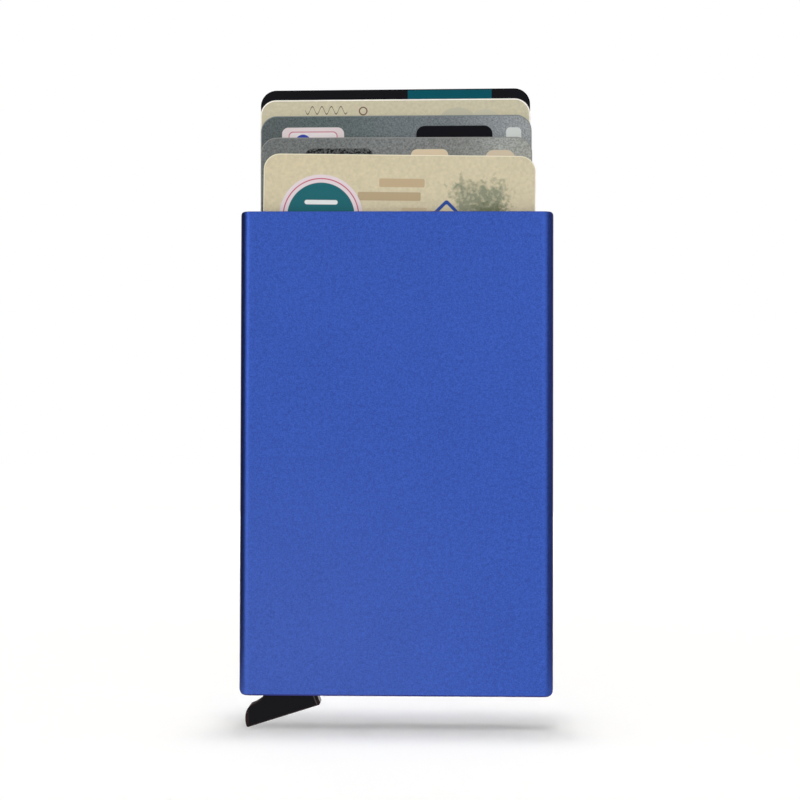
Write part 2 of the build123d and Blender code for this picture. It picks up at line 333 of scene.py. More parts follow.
@dataclass(frozen=True)
class MouldedPlastic:
    """Black engineering plastic, moulded against a spark-eroded steel: a close, even texture."""

    name: str
    base: str
    mottle: str
    roughness: float
    specular: float
    wear_and_highlights: WearAndHighlights | None = None
    spread: float = 0.05
    # A spark's pit is 0.03 mm; it is drawn as coarse as one pixel shows.
    pit_mm: float = 0.18
    depth_mm: float = 0.004

    def make(self) -> bpy.types.Material:
        """Builds the material, with its wear and painted highlights where it has any.

        Returns:
            The material.
        """
        paint = Paint(self.name)
        grain = paint.grain(self.pit_mm)
        tones = {SHARE: grain, UNDER: linear(self.base), OVER: linear(self.mottle)}
        colour = paint.add("Mix", tones, MIXED, data_type="RGBA")
        rough = paint.roughened(grain, self.roughness, self.spread)
        if self.wear_and_highlights:
            colour, rough = self.wear_and_highlights.lay(paint, colour, rough)
        pits = paint.add("Bump", {"Height": grain, "Distance": self.depth_mm * MM})
        return paint.shade(
            Base_Color=colour, Roughness=rough, Normal=pits, Specular_IOR_Level=self.specular
        )


@dataclass(frozen=True)
class GroundSteel:
    """Bright steel, ground round or drawn through a die: fine lines along the way it was worked."""

    name: str
    light: str
    dark: str
    roughness: float
    stretch: Triple
    spread: float = 0.06
    line_mm: float = 0.05
    depth_mm: float = 0.002

    def make(self) -> bpy.types.Material:
        """Builds the material.

        Returns:
            The material.
        """
        paint = Paint(self.name)
        lines = paint.grain(self.line_mm, 3, self.stretch)
        tones = {SHARE: lines, UNDER: linear(self.dark), OVER: linear(self.light)}
        colour = paint.add("Mix", tones, MIXED, data_type="RGBA")
        rough = paint.roughened(lines, self.roughness, self.spread)
        scores = paint.add("Bump", {"Height": lines, "Distance": self.depth_mm * MM})
        return paint.shade(Base_Color=colour, Roughness=rough, Normal=scores, Metallic=1.0)


@dataclass(frozen=True)
class PressedFelt:
    """Wool felt, pressed: short fibres that lie every way and a soft sheen."""

    base: str = "1d1e21"
    fibre: str = "3b3c41"
    # A wool fibre is 0.03 mm; tufts of them are drawn, some times longer than wide.
    tuft_mm: float = 0.25
    tuft_length: float = 4
    # From the first value of a fibre's grain its colour shows, and from the second it is full.
    shown: Limits = (0.45, 0.75)
    depth_mm: float = 0.06

    def make(self) -> bpy.types.Material:
        """Builds the material; two sets of long thin grains cross each other as fibres do.

        Returns:
            The material.
        """
        paint = Paint("pressed_wool_felt")
        along = paint.grain(self.tuft_mm, 3, (self.tuft_length, 1, 1))
        upright = paint.grain(self.tuft_mm, 3, (1, 1, self.tuft_length))
        fibres = paint.add("Math", (along, upright), operation="MAXIMUM")
        share = paint.add("MapRange", (fibres, *self.shown))
        tones = {SHARE: share, UNDER: linear(self.base), OVER: linear(self.fibre)}
        colour = paint.add("Mix", tones, MIXED, data_type="RGBA")
        nap = paint.add("Bump", {"Height": fibres, "Distance": self.depth_mm * MM})
        return paint.shade(
            Base_Color=colour, Normal=nap, Roughness=0.95,
            Sheen_Weight=0.35, Sheen_Roughness=0.5, Specular_IOR_Level=0.2,
        )


@dataclass(frozen=True)
class Panel:
    """Printed panel with round corners. Places are from the card's top left corner, down."""

    centre: Point
    size: Point
    radius: float
    ink: str
    turn: float = 0.0
    speckle: float = 0.0

    def mask(self, card: "CardPaint") -> Socket:
        """Says where the panel is: 1 inside it and 0 outside."""
        return card.inside(card.beyond(self.centre, self.size, self.radius, self.turn), self.radius)


@dataclass(frozen=True)
class Ring:
    """Printed ring."""

    centre: Point
    radius: float
    width: float
    ink: str
    speckle: float = 0.0

    def mask(self, card: "CardPaint") -> Socket:
        """Says where the ring is: less than half its width from its middle line.

        Args:
            card: paint of the card that it is printed on.

        Returns:
            1 on the ring and 0 off it.
        """
        away = card.beyond(self.centre, (0.0, 0.0), 0.0, 0.0)
        signed = card.add("Math", (away, self.radius), operation="SUBTRACT")
        return card.inside(card.add("Math", (signed,), operation="ABSOLUTE"), self.width / 2)


@dataclass(frozen=True)
class Wave:
    """Printed line that waves along the card."""

    start: Point
    length: float
    height: float
    pitch: float
    width: float
    ink: str
    speckle: float = 0.0

    def mask(self, card: "CardPaint") -> Socket:
        """Says where the line is: within half its width of a sine, between its two ends.

        Args:
            card: paint of the card that it is printed on.

        Returns:
            1 on the line and 0 off it.
        """
        along = card.add("Math", (card.across, self.start[0]), operation="SUBTRACT")
        phase = card.add("Math", (along, 2 * math.pi / self.pitch), operation="MULTIPLY")
        swing = card.add("Math", (phase,), operation="SINE")
        below = card.add("Math", (card.down, self.start[1]), operation="SUBTRACT")
        signed = card.add("Math", (swing, -self.height / 2, below), operation="MULTIPLY_ADD")
        line = card.inside(card.add("Math", (signed,), operation="ABSOLUTE"), self.width / 2)
        from_middle = card.add("Math", (along, self.length / 2), operation="SUBTRACT")
        ends = card.inside(card.add("Math", (from_middle,), operation="ABSOLUTE"), self.length / 2)
        return card.add("Math", (line, ends), operation="MULTIPLY")


@dataclass(frozen=True)
class Foliage:
    """Printed mottling, as of a hedge seen from afar: dense in the middle, thin at the edges."""

    centre: Point
    size: Point
    ink: str
    grain_mm: float = 1.1
    fade_mm: float = 5.0
    # Where the grain is cut off, in the middle and past the fade, and how softly.
    cut_off: Limits = (0.30, 0.80)
    softness: Limits = (-0.06, 0.22)
    speckle: float = 0.0

    def mask(self, card: "CardPaint") -> Socket:
        """Says how much of the mottling shows: grain that is cut off higher towards the edges.

        Args:
            card: paint of the card that it is printed on.

        Returns:
            0 where none shows and up to 1 where all of it does.
        """
        away = card.beyond(self.centre, self.size, 0.0, 0.0)
        limit = card.add("MapRange", (away, 0.0, self.fade_mm, *self.cut_off))
        over = card.add("Math", (card.grain(self.grain_mm, 5), limit), operation="SUBTRACT")
        return card.add("MapRange", (over, *self.softness))


Motif = Panel | Ring | Wave | Foliage


class CardPaint(Paint):
    """Paint for one card, with its face laid out in millimetres from the top left corner."""

    soft_mm: float = 0.10
    # Speckle that thins a print: its size, and the grain's values between which it opens.
    speckle_mm: float = 0.35
    speckle_opens: Limits = (0.42, 0.55)

    def __init__(self, name: str, node: str, size_mm: Point, corner_mm: float) -> None:
        """Finds the card's corner and lean from its box.

        Args:
            name: the material's name.
            node: the card's node.
            size_mm: the card's width and height.
            corner_mm: radius of its corners.
        """
        super().__init__(name)
        low, high = (np.array(corner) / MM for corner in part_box(node))
        width, height = size_mm
        centre = (low + high) / 2
        # The box of a card that leans by a small angle is wider by that angle times its straight
        # height, and the card's highest point is on the side that it leans away from.
        lean = (high[0] - low[0] - width) / (height - 2 * corner_mm)
        points = np.empty(3 * len(bpy.data.objects[node].data.vertices), np.float32)
        bpy.data.objects[node].data.vertices.foreach_get("co", points)
        across, _, up = points.reshape(-1, 3).T / MM
        lean *= np.sign(across[up.argmax()] - centre[0])
        left = -width / 2 * math.cos(lean) - height / 2 * math.sin(lean)
        top = -width / 2 * math.sin(lean) + height / 2 * math.cos(lean)
        corner = (centre[0] + left, low[1], centre[2] + top)
        upside_down = (1, 1, -1)
        laid = (self.place, corner, (0, -lean, 0), upside_down)
        self.card = self.add("Mapping", laid, vector_type="TEXTURE")
        self.across, self.depth, self.down = self.add("SeparateXYZ", (self.card,)).node.outputs
        self.face = self.add("VectorMath", (self.card, WITHOUT_Y), operation="MULTIPLY")
        self.size_mm = size_mm
        self.corner_mm = corner_mm
        self.thickness_mm = float(high[1] - low[1])

    def beyond(self, centre: Point, size: Point, radius: float, turn: float) -> Socket:
        """Distance from a rectangle drawn in by a radius on all sides, and 0 inside it.

        Args:
            centre: the rectangle's middle.
            size: its width and height.
            radius: how far it is drawn in.
            turn: its turn in degrees.

        Returns:
            The distance in millimetres.
        """
        middle = (centre[0], 0, centre[1])
        local = self.add("Mapping", (self.face, middle, (0, math.radians(turn), 0)), vector_type="TEXTURE")
        half = (max(size[0] / 2 - radius, 0), 0, max(size[1] / 2 - radius, 0))
        folded = self.add("VectorMath", (local,), operation="ABSOLUTE")
        past = self.add("VectorMath", (folded, half), operation="SUBTRACT")
        outside = self.add("VectorMath", (past, (0, 0, 0)), operation="MAXIMUM")
        return self.add("VectorMath", (outside,), "Value", operation="LENGTH")

    def inside(self, distance: Socket, limit: float) -> Socket:
        """1 where a distance is under a limit, 0 past it, with a soft printed edge between."""
        return self.add("MapRange", (distance, limit + self.soft_mm / 2, limit - self.soft_mm / 2))

    def from_edge(self) -> Socket:
        """Distance in from the card's rounded outline.

        It is the corner's radius, less how far a place is beyond the rectangle drawn in by that
        radius, or plus how far it is within it.

        Returns:
            The distance in millimetres.
        """
        width, height = self.size_mm
        inner = (width / 2 - self.corner_mm, 0, height / 2 - self.corner_mm)
        local = self.add("VectorMath", (self.face, (width / 2, 0, height / 2)), operation="SUBTRACT")
        folded = self.add("VectorMath", (local,), operation="ABSOLUTE")
        past = self.add("VectorMath", (folded, inner), operation="SUBTRACT")
        clipped = self.add("VectorMath", (past, (0, 0, 0)), operation="MAXIMUM")
        beyond = self.add("VectorMath", (clipped,), "Value", operation="LENGTH")
        sideways, _, upright = self.add("SeparateXYZ", (past,)).node.outputs
        nearest = self.add("Math", (sideways, upright), operation="MAXIMUM")
        within = self.add("Math", (nearest, 0.0), operation="MINIMUM")
        signed = self.add("Math", (beyond, within), operation="ADD")
        return self.add("Math", (self.corner_mm, signed), operation="SUBTRACT")

    def lay(self, base: Any, motifs: Sequence[Motif]) -> Socket:
        """Prints motifs over a base colour, first to last.

        Args:
            base: colour of the stock, a socket or a value.
            motifs: what is printed.

        Returns:
            The printed colour.
        """
        for motif in motifs:
            share = motif.mask(self)
            if motif.speckle:
                speckle = self.grain(self.speckle_mm, 3)
                left = (1.0, 1 - motif.speckle)
                holes = self.add("MapRange", (speckle, *self.speckle_opens, *left))
                share = self.add("Math", (share, holes), operation="MULTIPLY")
            printed = {SHARE: share, UNDER: base, OVER: linear(motif.ink)}
            base = self.add("Mix", printed, MIXED, data_type="RGBA")
        return base


@dataclass(frozen=True)
class CardDesign:
    """A laminated plastic card: printed stock under a clear film, with a pale core at its edge.

    A pale band round its face is partly that core and partly a painted highlight.

    The film gives it a smooth, slightly waxy gloss. Its prints are generic shapes of this script's
    own. Stock has a colour for each of some places along the card, as a share of its width, and a
    grain that makes it lighter and darker by a share.
    """

    name: str
    stock: tuple[tuple[float, str], ...]
    # Colour of a pale band round the face's outline: partly the pale core, partly a painted highlight.
    edge: str
    core: str
    back: str
    grain: float
    grain_mm: float
    front_motifs: tuple[Motif, ...] = ()
    back_motifs: tuple[Motif, ...] = ()
    edge_mm: float = 0.17
    # Values of the grain that make the stock darkest and lightest.
    grain_values: Limits = (0.25, 0.75)
    # The print lies this deep under each face.
    skin_mm: float = 0.08
    ripple_mm: float = 0.003
    roughness: float = 0.42
    specular: float = 0.3

    def make(self, node: str, size_mm: Point, corner_mm: float) -> bpy.types.Material:
        """Builds the material for one card.

        Args:
            node: the card's node.
            size_mm: its width and height.
            corner_mm: radius of its corners.

        Returns:
            The material.
        """
        card = CardPaint(self.name, node, size_mm, corner_mm)
        along = card.add("Math", (card.across, size_mm[0]), operation="DIVIDE")
        front: Any = linear(self.stock[0][1])
        for (start, _), (end, ink) in zip(self.stock, self.stock[1:]):
            share = card.add("MapRange", (along, start, end))
            toned = {SHARE: share, UNDER: front, OVER: linear(ink)}
            front = card.add("Mix", toned, MIXED, data_type="RGBA")
        grain = card.grain(self.grain_mm, 3)
        shade = card.add("MapRange", (grain, *self.grain_values, 1 - self.grain, 1 + self.grain))
        faces = []
        for stock, motifs in ((front, self.front_motifs), (linear(self.back), self.back_motifs)):
            shaded = {SHARE: 1.0, UNDER: stock, OVER: shade}
            stock = card.add("Mix", shaded, MIXED, data_type="RGBA", blend_type="MULTIPLY")
            faces.append(card.lay(stock, motifs))
        front, back = faces
        # A pale band round the outline: partly the core showing, partly a painted highlight.
        rim = card.inside(card.from_edge(), self.edge_mm)
        core_and_highlight_band = {SHARE: rim, UNDER: front, OVER: linear(self.edge)}
        front = card.add("Mix", core_and_highlight_band, MIXED, data_type="RGBA")
        back_depth = card.thickness_mm - self.skin_mm
        is_front = card.add("Math", (card.depth, self.skin_mm), operation="LESS_THAN")
        is_back = card.add("Math", (card.depth, back_depth), operation="GREATER_THAN")
        cored = {SHARE: is_front, UNDER: linear(self.core), OVER: front}
        skin = card.add("Mix", cored, MIXED, data_type="RGBA")
        backed = {SHARE: is_back, UNDER: skin, OVER: back}
        skin = card.add("Mix", backed, MIXED, data_type="RGBA")
        film = card.add("Bump", {"Height": grain, "Distance": self.ripple_mm * MM})
        return card.shade(
            Base_Color=skin, Normal=film, Roughness=self.roughness, Specular_IOR_Level=self.specular
        )


@dataclass(frozen=True)
class ContactPlate:
    """Gold-plated contacts on a card: satin metal, cut into generic fields by fine dark gaps."""

    light: str = "d9b25e"
    dark: str = "b98f3f"
    gap: str = "3a3020"
    gap_mm: float = 0.22
    gap_depth_mm: float = 0.03
    rows: int = 4
    # The middle field's width and height as shares of the plate's, and its radius as one of its width.
    field_shares: tuple[float, float] = (0.34, 0.46)
    radius_share: float = 0.4
    # The gold's brushed lines: how wide they are, and how many times longer.
    line_mm: float = 0.12
    line_length: float = 6

    def make(self, node: str, card: str, size_mm: Point, corner_mm: float) -> bpy.types.Material:
        """Builds the material: an oval field in the middle, and rows of fields to both sides.

        Args:
            node: the contacts' node.
            card: node of the card that carries them.
            size_mm: the card's width and height.
            corner_mm: radius of the card's corners.

        Returns:
            The material.
        """
        paint = CardPaint("gold_plated_contacts", card, size_mm, corner_mm)
        low, high = (np.array(corner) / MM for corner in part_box(node))
        card_low, card_high = (np.array(corner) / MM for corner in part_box(card))
        middle = ((low[0] + high[0]) / 2 - card_low[0], card_high[2] - (low[2] + high[2]) / 2)
        width, height = high[0] - low[0], high[2] - low[2]
        field = (width * self.field_shares[0], height * self.field_shares[1])
        radius = field[0] * self.radius_share
        away = paint.beyond(middle, field, radius, 0.0)
        signed = paint.add("Math", (away, radius), operation="SUBTRACT")
        gaps = paint.inside(paint.add("Math", (signed,), operation="ABSOLUTE"), self.gap_mm / 2)
        outside = paint.add("Math", (away, radius), operation="GREATER_THAN")
        for row in range(1, self.rows):
            level = middle[1] - height / 2 + row * height / self.rows
            off_row = paint.beyond((middle[0], level), (width, 0.0), 0.0, 0.0)
            line = paint.inside(off_row, self.gap_mm / 2)
            shown = paint.add("Math", (line, outside), operation="MULTIPLY")
            gaps = paint.add("Math", (gaps, shown), operation="MAXIMUM")
        brushed = paint.grain(self.line_mm, 3, (self.line_length, 1, 1))
        tones = {SHARE: brushed, UNDER: linear(self.dark), OVER: linear(self.light)}
        gold = paint.add("Mix", tones, MIXED, data_type="RGBA")
        cut = {SHARE: gaps, UNDER: gold, OVER: linear(self.gap)}
        colour = paint.add("Mix", cut, MIXED, data_type="RGBA")
        fields = paint.add("Math", (1.0, gaps), operation="SUBTRACT")
        relief = paint.add("Bump", {"Height": fields, "Distance": self.gap_depth_mm * MM})
        return paint.shade(Base_Color=colour, Normal=relief, Metallic=0.9, Roughness=0.35)


@dataclass(frozen=True)
class MagneticTape:
    """Oxide tape hot-pressed into the card's back: dark brown, smooth, with faint drawn lines."""

    base: str = "110d0b"
    line: str = "1c1512"
    line_mm: float = 0.3
    line_length: float = 40
    depth_mm: float = 0.002

    def make(self) -> bpy.types.Material:
        """Builds the material.

        Returns:
            The material.
        """
        paint = Paint("magnetic_oxide_tape")
        lines = paint.grain(self.line_mm, 3, (1, 1, self.line_length))
        tones = {SHARE: lines, UNDER: linear(self.base), OVER: linear(self.line)}
        colour = paint.add("Mix", tones, MIXED, data_type="RGBA")
        scores = paint.add("Bump", {"Height": lines, "Distance": self.depth_mm * MM})
        return paint.shade(Base_Color=colour, Normal=scores, Roughness=0.38, Specular_IOR_Level=0.15)


def mesh_object(name: str, points: np.ndarray, quads: np.ndarray) -> bpy.types.Object:
    """Makes an object at the origin from arrays of points and quads.

    Args:
        name: the piece's name.
        points: one row of three coordinates for each vertex.
        quads: one row of four vertex numbers for each face, anticlockwise seen from outside.

    Returns:
        The new object, shaded smooth.
    """
    mesh = bpy.data.meshes.new(name)
    mesh.vertices.add(len(points))
    mesh.vertices.foreach_set("co", points.astype(np.float32).ravel())
    mesh.loops.add(quads.size)
    mesh.loops.foreach_set("vertex_index", quads.astype(np.int32).ravel())
    mesh.polygons.add(len(quads))
    mesh.polygons.foreach_set("loop_start", np.arange(0, quads.size, 4, dtype=np.int32))
    mesh.polygons.foreach_set("use_smooth", np.ones(len(quads), bool))
    mesh.update(calc_edges=True)
    mesh.validate()
    made = bpy.data.objects.new(name, mesh)
    bpy.context.scene.collection.objects.link(made)
    return made


def grid_quads(rows: int, columns: int, closed: bool = False) -> np.ndarray:
    """Faces of a grid of points, row by row.

    Args:
        rows: how many rows of points.
        columns: how many points in a row.
        closed: whether the last column joins the first.

    Returns:
        One row of four vertex numbers for each face.
    """
    steps = columns if closed else columns - 1
    row, column = np.meshgrid(np.arange(rows - 1), np.arange(steps), indexing="ij")
    beside = (column + 1) % columns
    corners = (row * columns + column, row * columns + beside,
               (row + 1) * columns + beside, (row + 1) * columns + column)
    return np.stack(corners, axis=-1).reshape(-1, 4)


def merge_points(piece: bpy.types.Object) -> None:
    """Merges a piece's points that fall together, and turns every face outwards.

    Args:
        piece: a closed piece.
    """
    work = bmesh.new()
    work.from_mesh(piece.data)
    bmesh.ops.remove_doubles(work, verts=work.verts, dist=SAME_POINT)
    bmesh.ops.recalc_face_normals(work, faces=work.faces)
    for face in work.faces:
        face.smooth = True
    work.to_mesh(piece.data)
    work.free()


def dress(node: bpy.types.Object, material: bpy.types.Material, slot: Slot) -> None:
    """Gives a node or a new piece its only material.

    Args:
        node: the node's or the piece's object.
        material: its material.
        slot: slot of the record that its finish is; not used.
    """
    node.data.materials.clear()
    node.data.materials.append(material)
    LOG.info("%s: %s", node.name, material.name)


@dataclass
class Case:
    """The anodised tube and the moulded frame inside it."""

    nodes: dict[str, bpy.types.Object]
    shell: AnodisedAluminium = AnodisedAluminium()
    frame: MouldedPlastic = MouldedPlastic(
        "black_glass_filled_nylon", base="131315", mottle="1f1f22", roughness=0.55, specular=0.25
    )

    def build(self) -> None:
        """Dresses the shell and the frame."""
        dress(self.nodes["case_shell"], self.shell.make(), Slot.ALUMINIUM)
        dress(self.nodes["inner_frame"], self.frame.make(), Slot.NYLON)


@dataclass
class Ejector:
    """The stepped lever with its trigger, the pin that it turns on, and the return spring."""

    nodes: dict[str, bpy.types.Object]
    pivot: Vector
    wire: float = 0.40 * MM
    turns: float = 2.25
    ring_points: int = 14
    turn_points: int = 48
    leg_points: int = 8

    def build(self) -> None:
        """Dresses the lever and the pin, and winds the spring."""
        acetal = MouldedPlastic(
            "black_acetal", base="09090c", mottle="131317", roughness=0.42, specular=0.10, wear_and_highlights=WearAndHighlights()
        )
        dress(self.nodes["ejector_lever"], acetal.make(), Slot.ACETAL)
        ground = GroundSteel(
            "ground_steel_pin", light="c6c8ca", dark="8e9093", roughness=0.28, stretch=(1, 20, 1)
        )
        dress(self.nodes["pivot_pin"], ground.make(), Slot.STEEL)
        self.wind_spring()

    def wind_spring(self) -> None:
        """Winds the spring's wire.

        The centre line is a straight leg to the top of the coil, a helix of a steady pitch, and a
        straight leg down. The wire's skin is a circle round each point of it, square to the line.
        """
        low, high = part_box("return_spring")
        radius = self.pivot.x - low.x - self.wire / 2
        back, front = high.y - self.wire / 2, low.y + self.wire / 2
        turned = np.linspace(0, self.turns * 2 * math.pi, round(self.turns * self.turn_points))
        outward = np.stack([-np.sin(turned), np.zeros_like(turned), np.cos(turned)], axis=1)
        coil = outward * radius + np.array(self.pivot)
        coil[:, 1] = np.linspace(back, front, len(turned))
        start = np.array([high.x, back, coil[0, 2]])
        end = np.array([coil[-1, 0], front, low.z])
        share = np.linspace(0, 1, self.leg_points, endpoint=False)[:, None]
        first_leg = start + (coil[0] - start) * share
        last_leg = end + (coil[-1] - end) * share
        line = np.concatenate([first_leg, coil, last_leg[::-1]])
        first_side = np.repeat(outward[:1], len(first_leg), 0)
        last_side = np.repeat(outward[-1:], len(last_leg), 0)
        sides = np.concatenate([first_side, outward, last_side])
        tangent = np.gradient(line, axis=0)
        tangent /= np.linalg.norm(tangent, axis=1, keepdims=True)
        sides -= tangent * np.sum(sides * tangent, axis=1, keepdims=True)
        sides /= np.linalg.norm(sides, axis=1, keepdims=True)
        across = np.cross(tangent, sides)
        angle = np.linspace(0, 2 * math.pi, self.ring_points, endpoint=False)[None, :, None]
        ring = np.cos(angle) * sides[:, None] + np.sin(angle) * across[:, None]
        skin = line[:, None] + ring * self.wire / 2
        # Both ends close on a ring of no size.
        first_end = np.repeat(line[:1, None], self.ring_points, 1)
        last_end = np.repeat(line[-1:, None], self.ring_points, 1)
        points = np.concatenate([first_end, skin, last_end])
        quads = grid_quads(len(points), self.ring_points, closed=True)
        spring = mesh_object("return_spring_wire", points.reshape(-1, 3), quads)
        merge_points(spring)
        drawn = GroundSteel(
            "drawn_spring_wire", light="b4b6b8", dark="7c7e81", roughness=0.3, stretch=(8, 8, 1)
        )
        dress(spring, drawn.make(), Slot.SPRING_STEEL)
        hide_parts("return_spring")
        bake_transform(spring)


@dataclass
class FeltPads:
    """The four felt strips on the inner walls that hold the cards by friction."""

    finish: PressedFelt = PressedFelt()
    corner: float = 1.0 * MM
    step: float = 0.4 * MM
    rim: float = 0.35 * MM
    rim_drop_share: float = 0.45
    nap: float = 0.03 * MM

    def build(self) -> None:
        """Makes each strip and hides the plain solid that it stands for."""
        material = self.finish.make()
        for number, (face, level) in enumerate(
            (face, level) for face in ("front", "rear") for level in ("upper", "lower")
        ):
            node = f"pad_{face}_{level}"
            pad = self.strip(node, +1 if face == "front" else -1, number)
            dress(pad, material, Slot.FELT)
            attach(pad, "case")
            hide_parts(node)

    def strip(self, node: str, inward: int, seed: int) -> bpy.types.Object:
        """Makes one strip on its wall.

        The outline is a grid whose corner squares are bent to quarter discs. The height is the
        strip's thickness, let down along a quarter ellipse at the rim, less a random nap.

        Args:
            node: the solid that it stands for.
            inward: direction of the cards along Y.
            seed: number that its nap is drawn from.

        Returns:
            The new piece.
        """
        low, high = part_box(node)
        half = np.array([(high.x - low.x) / 2, (high.z - low.z) / 2])
        thickness = high.y - low.y
        columns, rows = (int(round(2 * side / self.step)) + 1 for side in half)
        across, upward = np.linspace(-half[0], half[0], columns), np.linspace(-half[1], half[1], rows)
        x, z = np.meshgrid(across, upward)
        into_x = np.clip((np.abs(x) - half[0] + self.corner) / self.corner, 0, 1)
        into_z = np.clip((np.abs(z) - half[1] + self.corner) / self.corner, 0, 1)
        bent_x = into_x * np.sqrt(1 - into_z**2 / 2)
        bent_z = into_z * np.sqrt(1 - into_x**2 / 2)
        from_rim = np.minimum(half[0] - np.abs(x), half[1] - np.abs(z))
        x = x + np.sign(x) * (bent_x - into_x) * self.corner
        z = z + np.sign(z) * (bent_z - into_z) * self.corner
        let_down = 1 - np.clip(from_rim / self.rim, 0, 1)
        drop = self.rim_drop_share * (1 - np.sqrt(1 - let_down**2))
        nap = np.random.default_rng(seed).random(x.shape) * self.nap
        height = thickness * (1 - drop) - nap
        wall = low.y if inward > 0 else high.y
        centre = (low + high) / 2
        top = np.stack([x + centre.x, wall + inward * height, z + centre.z], axis=-1)
        base = np.stack([x + centre.x, np.full_like(x, wall), z + centre.z], axis=-1)
        count = rows * columns
        sheet = grid_quads(rows, columns)
        index = np.arange(count).reshape(rows, columns)
        edge = np.concatenate([index[0, :-1], index[:-1, -1], index[-1, :0:-1], index[:0:-1, 0]])
        after = np.roll(edge, -1)
        sides = np.stack([edge, after, after + count, edge + count], axis=-1)
        quads = np.concatenate([sheet[:, ::-1], sheet + count, sides])
        points = np.concatenate([top.reshape(-1, 3), base.reshape(-1, 3)])
        pad = mesh_object(f"felt_{node}", points, quads)
        merge_points(pad)
        return pad


class Designs(Enum):
    """The five printed cards, front to rear, with generic shapes of this script's own."""

    CREAM_FRONT = CardDesign(
        name="laminated_card_cream",
        stock=((0.0, "d7cbaa"), (1.0, "d5caab")),
        edge="efe7cf",
        core="e9e4d6",
        back="d2c8ac",
        grain=0.085,
        grain_mm=0.6,
        front_motifs=(
            Foliage((43.0, 13.0), (7.0, 12.0), "8d9078"),
            Foliage((45.0, 17.0), (3.0, 12.0), "6f7557", grain_mm=0.7),
            Panel((27.5, 5.6), (9.0, 1.7), 0.3, "c3ad8a"),
            Panel((25.0, 8.3), (12.5, 1.7), 0.3, "b9a583"),
            Panel((30.0, 11.2), (5.0, 1.4), 0.3, "cdbb98"),
            Panel((11.5, 12.4), (16.6, 16.6), 8.3, "e6d8dc"),
            Ring((11.5, 12.4), 7.5, 0.22, "c4566e"),
            Panel((11.5, 12.4), (13.4, 13.4), 6.7, "0d6068"),
            Panel((11.5, 9.6), (6.6, 0.9), 0.45, "eef0ee"),
            Panel((11.5, 12.2), (9.4, 0.9), 0.45, "eef0ee"),
            Panel((36.4, 11.3), (3.6, 3.6), 0.5, "1f4796", turn=45.0),
            Panel((36.4, 11.3), (2.3, 2.3), 0.3, "d6caa8", turn=45.0),
            Panel((36.4, 11.3), (7.6, 0.35), 0.15, "c9962f"),
            Panel((27.0, 58.0), (53.9, 9.0), 0.1, "c7b48f"),
            Panel((12.0, 72.0), (14.0, 1.6), 0.3, "8f8a70"),
            Panel((16.0, 75.5), (22.0, 1.2), 0.3, "a39c80"),
        ),
        back_motifs=(Panel((27.0, 30.0), (42.0, 9.0), 0.4, "eeeadf", speckle=0.2),),
    )
    GREY_SECOND = CardDesign(
        name="laminated_card_grey_warm",
        stock=(
            (0.0, "717574"), (0.28, "737776"), (0.50, "7d8080"),
            (0.72, "80827f"), (0.90, "9fa29e"), (1.0, "9fa099"),
        ),
        edge="90918e",
        core="bdbeb8",
        back="919491",
        grain=0.40,
        grain_mm=0.34,
        front_motifs=(
            Panel((15.6, 7.0), (13.6, 9.6), 1.6, "17171b", speckle=0.55),
            Panel((33.6, 6.4), (7.4, 8.0), 1.2, "d8c6aa"),
            Panel((47.6, 6.8), (6.0, 8.4), 1.8, "d0c1aa"),
        ),
        specular=0.06,
    )
    GREY_THIRD = CardDesign(
        name="laminated_card_grey_cool",
        stock=(
            (0.0, "5c6263"), (0.20, "5a6565"), (0.32, "616b6b"), (0.50, "6e7679"),
            (0.70, "737a7d"), (0.90, "919699"), (1.0, "9b9e9f"),
        ),
        edge="838a8a",
        core="b8bcba",
        back="82898a",
        grain=0.42,
        grain_mm=0.34,
        front_motifs=(
            Panel((38.6, 6.4), (15.2, 8.6), 1.7, "0d0d12"),
            Panel((10.4, 6.6), (12.4, 8.6), 1.3, "dfd2d3"),
            Panel((10.4, 6.9), (9.8, 7.6), 0.9, "c78090"),
            Panel((10.4, 7.0), (9.4, 7.4), 0.8, "e6ddde"),
            Panel((8.4, 6.2), (3.2, 5.0), 1.6, "3d4ca9"),
            Panel((50.4, 6.0), (3.0, 7.0), 0.8, "d2d6d3"),
        ),
        specular=0.06,
    )
    CREAM_FOURTH = CardDesign(
        name="laminated_card_cream_cool",
        stock=((0.0, "cbc3a8"), (1.0, "cbc4a9")),
        edge="fffaf0",
        core="e6e2d4",
        back="c8c1a8",
        grain=0.085,
        grain_mm=0.6,
        edge_mm=0.24,
        front_motifs=(
            Panel((39.5, 6.2), (9.0, 9.0), 4.5, "bdb9a4"),
            Panel((45.0, 5.6), (7.0, 7.0), 3.5, "c3bfa9"),
            Wave((9.0, 2.1), 8.4, 1.5, 1.9, 0.24, "5d5347"),
            Ring((20.6, 2.3), 0.75, 0.24, "6b4a40"),
        ),
    )
    BLACK_REAR = CardDesign(
        name="laminated_card_black",
        stock=((0.0, "101014"), (1.0, "111115")),
        edge="131318",
        core="26262b",
        back="1b1c22",
        grain=0.10,
        grain_mm=0.5,
        front_motifs=(Panel((37.9, 42.0), (16.8, 90.0), 0.2, "0b525f"),),
        back_motifs=(
            Panel((17.0, 14.0), (1.0, 60.0), 0.3, "135662"),
            Panel((19.2, 14.0), (0.5, 60.0), 0.2, "2d6f7a"),
        ),
        specular=0.06,
    )


